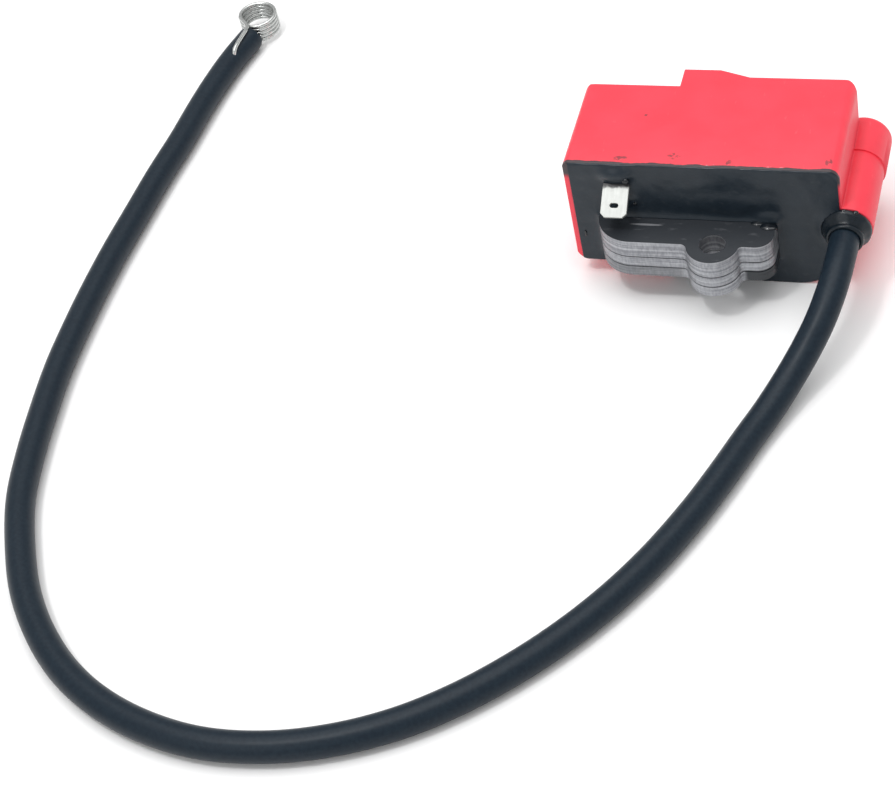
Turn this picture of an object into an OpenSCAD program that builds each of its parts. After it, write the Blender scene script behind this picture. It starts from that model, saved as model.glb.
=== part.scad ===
// Ignition coil for a small engine: a potted module with a laminated core, a spade terminal and
// a high-tension lead that ends in a contact spring.
// Inside the modules X runs to the right, towards the tower, from just inside the case's left face,
// Y from the open face to the back, and Z up from the surface that the module stands on. Each node
// is then placed about the middle of the module's own box.

/* [Case] */
// Width of the case, without the tower
case_width = 64.6; // [60:0.1:76]
// Height of the case
case_height = 35.4; // [34:0.2:42]
// Depth of the shallow left part
case_left_depth = 28.4; // [26:0.2:34]
// How much deeper the case is behind the step
step_depth = 6.2; // [4:0.2:8]
// How much of that depth the ramp takes back
ramp_depth = 2.4; // [1:0.2:3]
// Distance of the step from the left wall
step_x = 22.9; // [21:0.1:25]
// Height of the shallow part's floor over the surface
floor_lift = 4.5; // [3:0.5:5]
// Wall thickness
wall = 1.4; // [1:0.1:1.6]
// Radius of the lower right corner
lower_corner_r = 11.5; // [8:0.5:12]

/* [Tower] */
// Radius of the tower's front part
tower_r = 6; // [5.8:0.1:7]
// Radius of the tower's rear part
tower_rear_r = 6.4; // [6:0.1:7.4]
// Height of the tower's axis
tower_z = 18.3; // [17:0.1:20]
// Distance of the tower's axis outside the case's right wall
tower_out = 0.9; // [0.5:0.1:2]
// Length of the tower
tower_length = 32.6; // [28:0.1:34]
// Distance of the small step on the tower from its mouth
tower_step_y = 20; // [16:0.5:24]

/* [Core] */
// Thickness of one lamination
lamination = 0.5; // [0.35:0.05:0.5]
// Laminations in the upper pack
upper_count = 10; // [8:1:12]
// Laminations in the middle pack
middle_count = 6; // [4:1:8]
// Laminations in the lower pack
lower_count = 6; // [4:1:8]
// Height of the core's lower face
core_bottom = 8.8; // [8:0.1:10]
// Radius of the bolt lug
lug_r = 6.2; // [5.5:0.1:7]
// Radius of the bolt hole
bolt_hole_r = 3.1; // [2.6:0.05:3.3]
// Distance of the lug's middle in front of the case
lug_y = 9; // [8:0.5:12]
// Place of the lug's middle along X
lug_x = 34.7; // [32:0.1:38]

/* [Terminal] */
// Width of the spade
spade_width = 6.3; // [4.8:0.1:6.3]
// Free length of the spade
spade_length = 8; // [6:0.5:10]
// Thickness of the spade
spade_thickness = 0.8; // [0.5:0.1:0.8]
// Angle of the spade from the vertical
spade_angle = 56; // [0:1:90]

/* [Lead] */
// Diameter of the lead
lead_d = 7; // [5:0.5:7]
// Diameter of the stranded conductor
conductor_d = 1.8; // [1:0.1:2.4]

/* [Contact spring] */
// Outer diameter of the coil
spring_d = 10.7; // [9:0.1:12]
// Diameter of the wire
spring_wire_d = 1; // [0.8:0.1:1.2]
// Full turns of the coil
spring_turns = 5; // [4:1:5]

/* [Hidden] */
$fn = 64;
eps = 0.01;
case_left = -1.1;
case_right = case_left + case_width;
case_mid_depth = case_left_depth + step_depth;
case_right_depth = case_mid_depth - ramp_depth;
ramp_start = case_left + step_x + 8.9;
ramp_end = ramp_start + 7.4;

tower_x = case_right + tower_out;
tower_bore_r = lead_d / 2 + 0.3;
tower_bore_depth = 14.4;
mouth_recess_r = 5;
mouth_recess_depth = 2.4;

core_count = upper_count + middle_count + lower_count;
core_height = core_count * lamination;
core_top = core_bottom + core_height;
core_mid = core_bottom + core_height / 2;
core_left = 6.3;
core_right = 48.4;
core_front = -9.4;
yoke_back = 2;
leg_width = 8;
left_leg_x = 8;
right_leg_x = 39;
rivet_r = 1.2;
rivet_head_r = 2;
rivet_head = 0.6;
rivet_gap = 0.05;
pack_gap = 0.06;
window_gap = 0.02;

// The coil sits on the right leg, with its length along Y.
coil_x = right_leg_x + leg_width / 2;
coil_start = 4.4;
coil_length = 20;
former_wall = 0.8;
flange = 0.8;
primary_build = 1.6;
secondary_build = 2.4;
section_count = 6;
former_w = leg_width + 0.4;
former_h = core_height + 0.4;
primary_w = former_w + 2 * former_wall;
primary_h = former_h + 2 * former_wall;
primary_out_w = primary_w + 2 * primary_build + 0.4;
primary_out_h = primary_h + 2 * primary_build + 0.4;
secondary_in_w = primary_out_w + 0.4;
secondary_in_h = primary_out_h + 0.4;
secondary_w = secondary_in_w + 2 * former_wall;
secondary_h = secondary_in_h + 2 * former_wall;
secondary_out_w = secondary_w + 2 * secondary_build + 1;
secondary_out_h = secondary_h + 2 * secondary_build + 1;
section_pitch = (coil_length - flange) / section_count;

board_x = 3;
board_y = 4;
board_z = 22.6;
board_w = 27;
board_d = 20.4;
board_t = 1.4;
board_top = board_z + board_t;
board_room = 6.6;
leadout_r = 0.4;
leadout_y = [board_y - leadout_r, board_y + board_d + leadout_r];
leadout_z = board_z + board_t / 2;
power_size = [8, 10, 4];
power_at = [5, 13];
capacitor_size = [9, 4.6, 6.4];
capacitor_at = [17, 18];
transistor_r = 2.3;
transistor_h = 4.6;
transistor_at = [18, 12.5];
diode_r = 1.3;
diode_at = [23, 8];
resistor_r = 1.1;
resistor_y = [10.5, 13.4];
resistor_x = 23;
part_length = 6;

spade_x = 11.5;
spade_z = 29.3;
spade_reach = 6.4;
slot_length = 2;
slot_width = 1.1;
slot_from_root = 5.1;
spade_chamfer = 1;

seal_flange_r = 5.8;
seal_flange = 1.4;
seal_cone_end = 3;
collar_r = 4.4;
collar_end = 4.4;

spike_r = 0.7;
spike_length = 7;
lead_end_y = 13.4;
leadout_end_y = tower_bore_depth + 2.4;

lead_sides = 12;

// The lead's middle line, from the tower's bore to the cut end beside the spring.
rest_z = lead_d / 2 + 0.1;
lead_route = [
    [tower_x, lead_end_y, tower_z], [tower_x, 4, tower_z], [tower_x, -6, tower_z],
    [64, -14, 17.5], [63, -20, 15.5], [61.2, -26, 12.5], [58.5, -32, 9], [55.4, -38.5, 6],
    [52.2, -46, 4.2], [49, -54, rest_z], [45.2, -65, rest_z], [41, -76, rest_z], [35, -89, rest_z],
    [28, -101, rest_z], [20, -112, rest_z], [11, -122, rest_z], [1, -131, rest_z],
    [-10, -138.5, rest_z], [-22, -144, rest_z], [-35, -147.5, rest_z], [-49, -148.5, rest_z],
    [-62, -146.5, rest_z], [-74.5, -142, rest_z], [-86, -135, rest_z], [-96, -125.5, rest_z],
    [-104.5, -114, rest_z], [-111, -101, rest_z], [-116, -88, rest_z], [-119, -74, rest_z],
    [-121, -60, rest_z], [-122.5, -46, rest_z], [-123, -32, rest_z], [-123, -18, rest_z],
    [-122.5, -4, rest_z], [-121.5, 10, rest_z], [-120.5, 24, rest_z], [-119, 38, rest_z],
    [-118, 52, rest_z], [-116.8, 63, rest_z], [-115.2, 72.5, rest_z], [-112.8, 82.2, rest_z]
];

spring_r = (spring_d - spring_wire_d) / 2;
spring_centre = [-112.2, 88];
spring_bottom = 1.6;
spring_pitch = 1.15;
spring_steps = 20;
spring_last_angle = 212;
spring_leg = [
    [-113.1, 81.5, 7.6], [-113.5, 76, 7.6], [-113.8, 72, 7.3], [-114, 70.6, 5]
];

// The module's own box, without the lead and the spring.
box_left = case_left;
box_right = tower_x + tower_rear_r;
box_front = -lug_y - lug_r;
box_back = case_mid_depth;
box_middle = [(box_left + box_right) / 2, (box_front + box_back) / 2];

// Moves a node from the case's corner to the middle of the module's box.
module place() {
    translate([-box_middle[0], -box_middle[1], 0]) children();
}

// A square corner of side r, less the quarter circle that rounds it. The corner is at the origin
// and the outline lies towards +X and +Y.
module corner_waste(r) {
    difference() {
        translate([-eps, -eps]) square(r + eps);
        translate([r, r]) circle(r);
    }
}

// A bar along Y with its middle at x, z: w wide and h high.
module bar_y(x, z, w, h, y0, y1) {
    translate([x - w / 2, y0, z - h / 2]) cube([w, y1 - y0, h]);
}

// A round rod from p to q.
module rod(p, q, r) {
    d = q - p;
    length = norm(d);
    translate(p)
        rotate([0, acos(d[2] / length), atan2(d[1], d[0])])
            cylinder(h = length, r = r, $fn = 24);
}

// A cylinder along Y.
module cylinder_y(x, z, r, y0, y1) {
    translate([x, y0, z]) rotate([-90, 0, 0]) cylinder(h = y1 - y0, r = r);
}

// ---------------------------------------------------------------- case

// The case seen from the front, drawn inwards by inset.
module front_outline(inset) {
    x0 = case_left + inset;
    x1 = case_right - inset;
    z1 = case_height - inset;
    z_lift = floor_lift + inset;
    x_step = case_left + step_x + inset;
    difference() {
        translate([x0, inset]) square([x1 - x0, z1 - inset]);
        translate([x0 - eps, inset - eps]) square([x_step - x0 + eps, z_lift - inset + eps]);
        translate([x0, z_lift]) corner_waste(3 - inset);
        translate([x0, z1]) mirror([0, 1]) corner_waste(1.8 - inset);
        translate([x1, z1]) mirror([1, 0]) mirror([0, 1]) corner_waste(2.6 - inset);
        translate([x1, inset]) mirror([1, 0]) corner_waste(lower_corner_r - inset);
    }
}

// The case seen from above, drawn inwards by inset. It starts at y0.
module plan_outline(inset, y0) {
    x0 = case_left + inset;
    x1 = case_right - inset;
    y_left = case_left_depth - inset;
    y_mid = case_mid_depth - inset;
    y_right = case_right_depth - inset;
    x_step = case_left + step_x + inset;
    difference() {
        polygon([
            [x0, y0], [x1, y0], [x1, y_right], [ramp_end, y_right], [ramp_start, y_mid],
            [x_step, y_mid], [x_step, y_left], [x0, y_left]
        ]);
        translate([x0, y_left]) mirror([0, 1]) corner_waste(2 - inset);
        translate([x1, y_right]) mirror([1, 0]) mirror([0, 1]) corner_waste(3 - inset);
    }
}

// The solid inside the case's walls when inset is the wall, or the whole block when it is 0.
module case_block(inset, y0) {
    intersection() {
        translate([0, case_mid_depth + 1, 0]) rotate([90, 0, 0])
            linear_extrude(case_mid_depth + 1 - y0) front_outline(inset);
        translate([0, 0, -1]) linear_extrude(case_height + 2) plan_outline(inset, y0);
    }
}

// The tower's outside: a plain tube, a slightly larger rear part and a rounded closed end.
module tower_body() {
    end_r = 2.1;
    translate([tower_x, 0, tower_z]) rotate([-90, 0, 0])
        rotate_extrude() {
            square([tower_r, tower_step_y]);
            translate([0, tower_step_y]) square([tower_rear_r, tower_length - tower_step_y - end_r]);
            square([tower_rear_r - end_r, tower_length]);
            intersection() {
                translate([tower_rear_r - end_r, tower_length - end_r]) circle(end_r);
                square([tower_rear_r, tower_length]);
            }
        }
}

// The room for the lead, the contact spike and its lead-out inside the tower.
module tower_room() {
    cylinder_y(tower_x, tower_z, tower_bore_r, -1, tower_bore_depth);
    cylinder_y(tower_x, tower_z, mouth_recess_r, -1, mouth_recess_depth);
    cylinder_y(tower_x, tower_z, spike_r + 0.3, tower_bore_depth - 1, tower_bore_depth + 4);
    rod([case_right - 9, leadout_end_y, tower_z], [tower_x, leadout_end_y, tower_z], 0.8);
}

// The opening between the cup and the tower's mouth, where the epoxy runs through.
module mouth_slot() {
    translate([case_right - wall - 4, -1, tower_z - 3.6])
        cube([wall + 4 + tower_out - tower_bore_r + 0.6, 1 + mouth_recess_depth, 7.2]);
}

// The two legs of the core reach through the back wall, where their ends face the flywheel.
module pole_windows() {
    leg_bars(window_gap, case_mid_depth + 1);
}

module case() {
    color("#e8485c")
        difference() {
            union() {
                case_block(0, 0);
                tower_body();
            }
            difference() {
                case_block(wall, -1);
                tower_body();
            }
            tower_room();
            mouth_slot();
            pole_windows();
        }
}

// ---------------------------------------------------------------- core

// The two legs' cross-section, from y0 back to y1.
module leg_bars(grow, y1) {
    for (x = [left_leg_x, right_leg_x])
        translate([x - grow, yoke_back - eps, core_bottom - grow])
            cube([leg_width + 2 * grow, y1 - yoke_back + eps, core_height + 2 * grow]);
}

// One lamination: a yoke with a bolt lug in front and two legs towards the flywheel.
module lamination_outline() {
    left_r = 8.6;
    right_r = 4;
    left_fillet = 1.8;
    right_fillet = 1.2;
    difference() {
        union() {
            translate([core_left, core_front])
                square([core_right - core_left, yoke_back - core_front]);
            translate([left_leg_x, 0]) square([leg_width, case_left_depth]);
            translate([right_leg_x, 0]) square([leg_width, case_right_depth]);
            translate([lug_x, -lug_y]) circle(lug_r);
            translate([lug_x, -lug_y]) lug_fillet(left_fillet);
            translate([lug_x, -lug_y]) mirror([1, 0]) lug_fillet(right_fillet);
        }
        translate([core_left, core_front]) corner_waste(left_r);
        translate([core_right, core_front]) mirror([1, 0]) corner_waste(right_r);
        translate([lug_x, -lug_y]) circle(bolt_hole_r);
        for (p = rivet_points()) translate(p) circle(rivet_r + rivet_gap);
    }
}

// The metal that fills the hollow corner to the left of the lug, whose middle is at the origin. Its
// hollow circle crosses the yoke's front edge and the lug at a small angle, a bite deep.
module lug_fillet(r) {
    bite = 0.02;
    down = core_front + lug_y - r + bite;
    out = -sqrt(pow(lug_r + r - bite, 2) - pow(down, 2));
    difference() {
        polygon([[0, 0], [out, 0], [out, down]]);
        translate([out, down]) circle(r);
    }
}

function rivet_points() = [
    [left_leg_x + leg_width / 2, 8],
    [left_leg_x + leg_width / 2, 20],
    [right_leg_x + leg_width / 2, 28.5]
];

// A pack of laminations that starts above the first 'below' of them.
module core_pack(below, count) {
    translate([0, 0, core_bottom + below * lamination + pack_gap / 2])
        linear_extrude(count * lamination - pack_gap) lamination_outline();
}

module core_lower_pack() {
    color("#8b8d90") core_pack(0, lower_count);
}

module core_middle_pack() {
    color("#a2a4a7") core_pack(lower_count, middle_count);
}

module core_upper_pack() {
    color("#b4b6b9") core_pack(lower_count + middle_count, upper_count);
}

module core_rivets() {
    color("#c8c8c4")
        for (p = rivet_points()) {
            translate([p[0], p[1], core_bottom - rivet_head])
                cylinder(h = core_height + 2 * rivet_head, r = rivet_r);
            for (z = [core_bottom - rivet_head, core_top])
                translate([p[0], p[1], z]) cylinder(h = rivet_head, r = rivet_head_r);
        }
}

// ---------------------------------------------------------------- coil

// A winding or former: a rectangular ring around the right leg.
module coil_ring(w_out, h_out, w_in, h_in, y0, y1) {
    difference() {
        bar_y(coil_x, core_mid, w_out, h_out, y0, y1);
        bar_y(coil_x, core_mid, w_in, h_in, y0 - 1, y1 + 1);
    }
}

// A former with a flange at each end.
module bobbin(w_in, h_in, w_tube, h_tube, w_flange, h_flange, ribs) {
    coil_ring(w_tube, h_tube, w_in, h_in, coil_start, coil_start + coil_length);
    for (i = [0 : ribs])
        let (y = coil_start + i * (coil_length - flange) / ribs)
            coil_ring(w_flange, h_flange, w_in, h_in, y, y + flange);
}

module primary_bobbin() {
    color("#d8d4c4")
        bobbin(former_w, former_h, primary_w, primary_h, primary_out_w, primary_out_h, 1);
}

module primary_winding() {
    color("#b8652e")
        coil_ring(primary_out_w - 0.4, primary_out_h - 0.4, primary_w, primary_h,
                  coil_start + flange, coil_start + coil_length - flange);
}

module secondary_bobbin() {
    color("#e6e2d6")
        bobbin(secondary_in_w, secondary_in_h, secondary_w, secondary_h,
               secondary_out_w, secondary_out_h, section_count);
}

module secondary_winding(i) {
    y0 = coil_start + flange + (i - 1) * section_pitch;
    color("#a5521f")
        coil_ring(secondary_out_w - 1, secondary_out_h - 1, secondary_w, secondary_h,
                  y0, y0 + section_pitch - flange);
}

// ---------------------------------------------------------------- board

module circuit_board() {
    color("#4f7a3a") translate([board_x, board_y, board_z]) cube([board_w, board_d, board_t]);
}

module power_transistor() {
    color("#2b2b2e") translate([power_at[0], power_at[1], board_top]) cube(power_size);
}

module capacitor() {
    color("#c9a227") translate([capacitor_at[0], capacitor_at[1], board_top]) cube(capacitor_size);
}

module control_transistor() {
    color("#2b2b2e")
        translate([transistor_at[0], transistor_at[1], board_top])
            difference() {
                cylinder(h = transistor_h, r = transistor_r);
                translate([-transistor_r, -2 * transistor_r - 1, -1])
                    cube([2 * transistor_r, 2 * transistor_r, transistor_h + 2]);
            }
}

module axial_part(x, y, r) {
    rod([x, y, board_top + r], [x + part_length, y, board_top + r], r);
}

module diode() {
    color("#303034") axial_part(diode_at[0], diode_at[1], diode_r);
}

module resistors() {
    color("#c8a878") for (y = resistor_y) axial_part(resistor_x, y, resistor_r);
}

// A strip from the board's edge down to the core's upper face.
module ground_strap() {
    color("#c08040") {
        translate([board_x + 2, board_y - 0.6, core_top]) cube([4, 0.6, board_top - core_top]);
        translate([board_x + 5.4, board_y - 2.4, core_top]) cube([4, 2.4, 0.5]);
    }
}

// The primary's two ends, along the board's front and back edges.
module primary_leadouts() {
    color("#b8652e")
        for (y = leadout_y)
            rod([board_x + board_w - 2, y, leadout_z], [coil_x - 4, y, leadout_z], leadout_r);
}

// ---------------------------------------------------------------- terminal

// The spade, flat: it starts at the origin and runs along +Y.
module spade_outline() {
    half = spade_width / 2;
    difference() {
        polygon([
            [-half, 0], [half, 0], [half, spade_length - spade_chamfer],
            [half - spade_chamfer, spade_length], [spade_chamfer - half, spade_length],
            [-half, spade_length - spade_chamfer]
        ]);
        translate([0, slot_from_root]) {
            square([slot_length - slot_width, slot_width], center = true);
            for (side = [-1, 1])
                translate([side * (slot_length - slot_width) / 2, 0]) circle(slot_width / 2);
        }
    }
}

module spade_terminal() {
    bend_r = spade_thickness / 2;
    color("#dcdcd4")
        translate([spade_x, 0, spade_z]) {
            translate([0, -0.4, 0]) rotate([0, 0, 180]) rotate([-(90 - spade_angle), 0, 0])
                translate([0, 0, -bend_r]) linear_extrude(spade_thickness) spade_outline();
            rod([-spade_width / 2, -0.4, 0], [spade_width / 2, -0.4, 0], bend_r);
            translate([-spade_width / 2, -0.4, -bend_r])
                cube([spade_width, spade_reach + 0.4, spade_thickness]);
            translate([-spade_width / 4, spade_reach - spade_thickness, board_top - spade_z])
                cube([spade_width / 2, spade_thickness, spade_z - board_top]);
        }
}

// ---------------------------------------------------------------- high-tension side

module tower_seal() {
    color("#26292c")
        translate([tower_x, 0, tower_z]) rotate([90, 0, 0])
            difference() {
                rotate_extrude()
                    polygon([
                        [0, -mouth_recess_depth], [mouth_recess_r - 0.05, -mouth_recess_depth],
                        [mouth_recess_r - 0.05, 0], [seal_flange_r, 0],
                        [seal_flange_r, seal_flange], [collar_r - 0.4, seal_cone_end],
                        [collar_r, seal_cone_end + 0.3], [collar_r, collar_end - 0.3],
                        [collar_r - 0.3, collar_end], [0, collar_end]
                    ]);
                translate([0, 0, -mouth_recess_depth - 1])
                    cylinder(h = mouth_recess_depth + collar_end + 2, r = tower_bore_r - 0.1);
            }
}

module ht_contact_spike() {
    color("#d9c27a")
        translate([tower_x, lead_end_y, tower_z]) rotate([-90, 0, 0])
            rotate_extrude()
                polygon([
                    [0, -spike_length], [spike_r, 1 - spike_length], [spike_r, 0.1], [2.4, 0.1],
                    [2.4, 0.9], [spike_r, 0.9], [spike_r, 4.4], [0, 4.4]
                ]);
}

// The end of the secondary winding, out to the tail of the spike.
module ht_leadout() {
    color("#c08040")
        rod([coil_x + secondary_out_w / 2 + 0.1, leadout_end_y, tower_z],
            [tower_x - spike_r - 0.1, leadout_end_y, tower_z], 0.5);
}

// ---------------------------------------------------------------- potting

// The rooms that the epoxy leaves for the sealed pieces. The bobbins and windings count as one
// block, and so do the board and what stands on it.
module potted_rooms() {
    bar_y(coil_x, core_mid, secondary_out_w, secondary_out_h, coil_start,
          coil_start + coil_length);
    translate([0, 0, core_bottom]) linear_extrude(core_height) lamination_block();
    for (p = rivet_points())
        bar_y(p[0], core_mid, 2 * rivet_head_r, core_height + 2 * rivet_head,
              p[1] - rivet_head_r, p[1] + rivet_head_r);
    translate([board_x, board_y, board_z]) cube([board_w, board_d, board_t + board_room]);
    for (y = leadout_y)
        bar_y((board_x + board_w + coil_x) / 2 - 3, leadout_z,
              coil_x - board_x - board_w, 2 * leadout_r, y - leadout_r, y + leadout_r);
    translate([board_x + 2, board_y - 2.4, core_top]) cube([7.4, 2.4, board_top - core_top]);
    bar_y(case_right - 6, tower_z, 12, 1.1, leadout_end_y - 0.55, leadout_end_y + 0.55);
    translate([spade_x - spade_width / 2, -1, spade_z - spade_thickness / 2])
        cube([spade_width, 1 + board_y + 0.1, spade_thickness]);
}

// A lamination's outline without its holes, as far as the epoxy meets it.
module lamination_block() {
    translate([core_left, -1]) square([core_right - core_left, yoke_back + 1]);
    translate([left_leg_x, 0]) square([leg_width, case_mid_depth]);
    translate([right_leg_x, 0]) square([leg_width, case_mid_depth]);
}

module potting() {
    skin = 0.4;
    color("#2a3036")
        difference() {
            union() {
                case_block(wall, 0);
                intersection() {
                    mouth_slot();
                    case_block(0, 0);
                }
                rotate([90, 0, 0])
                    linear_extrude(skin) intersection() {
                        front_outline(0.15);
                        translate([case_left + wall, 0]) square([case_width - wall - 0.5, case_height]);
                    }
            }
            difference() {
                tower_body();
                mouth_slot();
            }
            cylinder_y(tower_x, tower_z, mouth_recess_r, -1, mouth_recess_depth);
            cylinder_y(tower_x, tower_z, seal_flange_r, -1, 0);
            potted_rooms();
        }
}

// ---------------------------------------------------------------- lead and spring

function unit(v) = v / norm(v);

// The direction of a route at its point i.
function route_direction(route, i) =
    let (last = len(route) - 1)
    unit(route[min(i + 1, last)] - route[max(i - 1, 0)]);

// A ring of points around point i of a route. Its first point is at the side.
function route_ring(route, i, r, sides) =
    let (
        along = route_direction(route, i),
        side = unit(cross(along, [0, 0, 1])),
        up = cross(side, along)
    )
    [for (k = [0 : sides - 1])
        let (a = 360 * k / sides) route[i] + r * (cos(a) * side + sin(a) * up)];

// A round tube of radius r swept along a route.
module sweep(route, r, sides) {
    rings = len(route);
    points = [for (i = [0 : rings - 1]) each route_ring(route, i, r, sides)];
    walls = [
        for (i = [0 : rings - 2])
            for (k = [0 : sides - 1])
                let (n = (k + 1) % sides, a = i * sides, b = a + sides)
                    each [[a + k, b + k, a + n], [a + n, b + k, b + n]]
    ];
    first_cap = [for (k = [0 : sides - 1]) k];
    last_cap = [for (k = [sides - 1 : -1 : 0]) (rings - 1) * sides + k];
    polyhedron(points, concat([first_cap], walls, [last_cap]), convexity = 10);
}

// A tube of radius r swept along a route, with a hole of radius hole_r down its middle.
module sweep_hollow(route, r, hole_r, sides) {
    rings = len(route);
    outer = [for (i = [0 : rings - 1]) each route_ring(route, i, r, sides)];
    inner = [for (i = [0 : rings - 1]) each route_ring(route, i, hole_r, sides)];
    first = len(outer);
    walls = [
        for (i = [0 : rings - 2])
            for (k = [0 : sides - 1])
                let (n = (k + 1) % sides, a = i * sides, b = a + sides)
                    each [
                        [a + k, b + k, a + n], [a + n, b + k, b + n],
                        [first + a + k, first + a + n, first + b + k],
                        [first + a + n, first + b + n, first + b + k]
                    ]
    ];
    caps = [
        for (k = [0 : sides - 1])
            let (n = (k + 1) % sides, z = (rings - 1) * sides)
                each [
                    [k, n, first + n, first + k],
                    [z + n, z + k, first + z + k, first + z + n]
                ]
    ];
    polyhedron(concat(outer, inner), concat(walls, caps), convexity = 10);
}

module ignition_lead() {
    color("#1f2529") sweep_hollow(lead_route, lead_d / 2, conductor_d / 2, lead_sides);
}

module lead_conductor() {
    color("#b87333") sweep(lead_route, conductor_d / 2, lead_sides);
}

// The coil's middle line, then the straight leg that lies on the lead and dips into it.
function spring_path() =
    let (
        steps = spring_turns * spring_steps,
        turns = [for (i = [0 : steps])
            let (a = spring_last_angle - 360 * spring_turns + i * 360 / spring_steps)
                [spring_centre[0] + spring_r * cos(a), spring_centre[1] + spring_r * sin(a),
                 spring_bottom + spring_pitch * i / spring_steps]]
    )
    concat(turns, spring_leg);

module contact_spring() {
    color("#c4c4be") sweep(spring_path(), spring_wire_d / 2, 8);
}

place() case();
place() potting();
place() core_upper_pack();
place() core_middle_pack();
place() core_lower_pack();
place() core_rivets();
place() spade_terminal();
place() tower_seal();
place() primary_bobbin();
place() primary_winding();
place() secondary_bobbin();
for (i = [1 : section_count])
    place() secondary_winding(i);
place() circuit_board();
place() power_transistor();
place() control_transistor();
place() capacitor();
place() diode();
place() resistors();
place() ground_strap();
place() primary_leadouts();
place() ht_leadout();
place() ht_contact_spike();
place() ignition_lead();
place() lead_conductor();
place() contact_spring();
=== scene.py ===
"""Looks for a small-engine ignition coil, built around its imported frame.

Sizes are millimetres in the module's own frame: X to the right, towards the tower, from just inside
the case's left face, Y from the open face to the back, Z up from the table. `place` turns them into
the row frame's metres.
"""

import logging
import math
import random
from dataclasses import dataclass, field
from enum import Enum
from functools import lru_cache
from typing import Callable, Iterable, Sequence

import bmesh
import bpy
from mathutils import Matrix, Vector, noise


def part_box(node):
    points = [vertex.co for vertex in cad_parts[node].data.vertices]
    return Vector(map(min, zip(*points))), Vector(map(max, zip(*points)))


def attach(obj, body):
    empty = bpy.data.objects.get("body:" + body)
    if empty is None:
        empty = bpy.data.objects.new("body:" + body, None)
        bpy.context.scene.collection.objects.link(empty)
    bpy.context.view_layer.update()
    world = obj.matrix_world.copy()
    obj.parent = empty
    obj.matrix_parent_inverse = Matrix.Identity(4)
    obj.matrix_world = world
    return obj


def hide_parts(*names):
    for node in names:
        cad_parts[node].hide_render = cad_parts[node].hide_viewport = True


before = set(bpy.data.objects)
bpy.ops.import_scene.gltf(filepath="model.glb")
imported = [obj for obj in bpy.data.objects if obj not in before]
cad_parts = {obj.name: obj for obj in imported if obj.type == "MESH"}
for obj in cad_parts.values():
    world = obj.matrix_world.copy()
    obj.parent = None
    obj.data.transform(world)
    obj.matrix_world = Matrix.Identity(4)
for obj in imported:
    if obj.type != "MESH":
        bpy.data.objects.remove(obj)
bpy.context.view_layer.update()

LOG = logging.getLogger("ignition_coil")
MM = 0.001
MICRON = 1e-6
CASE_LEFT = -1.1
CORNER = Vector(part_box("case")[0]) - Vector((CASE_LEFT * MM, 0, 0))
BODY = "root"
Colour = tuple[float, float, float]
Point = tuple[float, float, float]


class Slot(Enum):
    """Names for the record's material slots; nothing in the script uses them."""

    RED_PLASTIC = "red_plastic"
    BLACK_EPOXY = "black_epoxy"
    CORE_STEEL = "core_steel"
    TINNED_BRASS = "tinned_brass"
    BLACK_RUBBER = "black_rubber"
    LEAD_RUBBER = "lead_rubber"
    SPRING_STEEL = "spring_steel"


# ------------------------------------------------------------------ places and meshes


def place(x: float, y: float, z: float) -> Vector:
    """The row frame's point, in metres, for a point of the module in millimetres."""
    return CORNER + Vector((x, y, z)) * MM


@lru_cache
def module_box(node: str) -> tuple[Vector, Vector]:
    """A CAD node's box in the module's millimetres.

    Args:
        node: The CAD node's name.

    Returns:
        The lowest and the highest corner.
    """
    low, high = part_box(node)
    return (Vector(low) - CORNER) / MM, (Vector(high) - CORNER) / MM


def merged(node: str, flatten: bool = True) -> bmesh.types.BMesh:
    """A copy of a CAD node's mesh with its loose triangles joined.

    Args:
        node: The CAD node's name.
        flatten: Whether flat faces are made of one piece each.

    Returns:
        A new bmesh in the row frame.
    """
    mesh = bmesh.new()
    mesh.from_mesh(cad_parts[node].data)
    bmesh.ops.remove_doubles(mesh, verts=mesh.verts, dist=MICRON)
    if flatten:
        bmesh.ops.dissolve_limit(
            mesh, angle_limit=math.radians(0.5), verts=mesh.verts, edges=mesh.edges
        )
    return mesh


def sharp_edges(
    mesh: bmesh.types.BMesh,
    degrees: float,
    wanted: Callable[[bmesh.types.BMEdge], bool] = lambda edge: True,
) -> list[bmesh.types.BMEdge]:
    """The edges whose two faces meet at more than an angle.

    Args:
        mesh: The mesh to look in.
        degrees: The least angle between the faces' normals.
        wanted: A further test that each edge has to pass.

    Returns:
        The edges, in the mesh's order.
    """
    limit = math.radians(degrees)
    return [
        edge
        for edge in mesh.edges
        if len(edge.link_faces) == 2 and edge.calc_face_angle(0.0) > limit and wanted(edge)
    ]


def bevel(
    mesh: bmesh.types.BMesh, edges: Sequence[bmesh.types.BMEdge], size: float, segments: int
) -> None:
    """Rounds edges of a mesh.

    Args:
        mesh: The mesh to change.
        edges: Its edges to round.
        size: Width of the rounding in millimetres.
        segments: Number of strips across it.
    """
    bmesh.ops.bevel(
        mesh,
        geom=list(edges),
        offset=size * MM,
        offset_type="OFFSET",
        affect="EDGES",
        segments=segments,
        profile=0.5,
        material=-1,
        clamp_overlap=False,
    )


def finish_mesh(
    name: str,
    mesh: bmesh.types.BMesh,
    material: bpy.types.Material,
    replaces: Iterable[str] = (),
    smooth_below: float = 32.0,
) -> bpy.types.Object:
    """Makes a piece of the object from a bmesh and frees it.

    Args:
        name: The piece's name.
        mesh: The finished bmesh, in the row frame.
        material: The finish of the whole piece.
        replaces: CAD nodes that the piece stands for.
        smooth_below: Edges flatter than this angle, in degrees, are shaded smooth.

    Returns:
        The new object, which rides on the module's body.
    """
    data = bpy.data.meshes.new(name)
    mesh.to_mesh(data)
    mesh.free()
    data.shade_smooth()
    data.set_sharp_from_angle(angle=math.radians(smooth_below))
    return finish_object(name, data, material, replaces)


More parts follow.
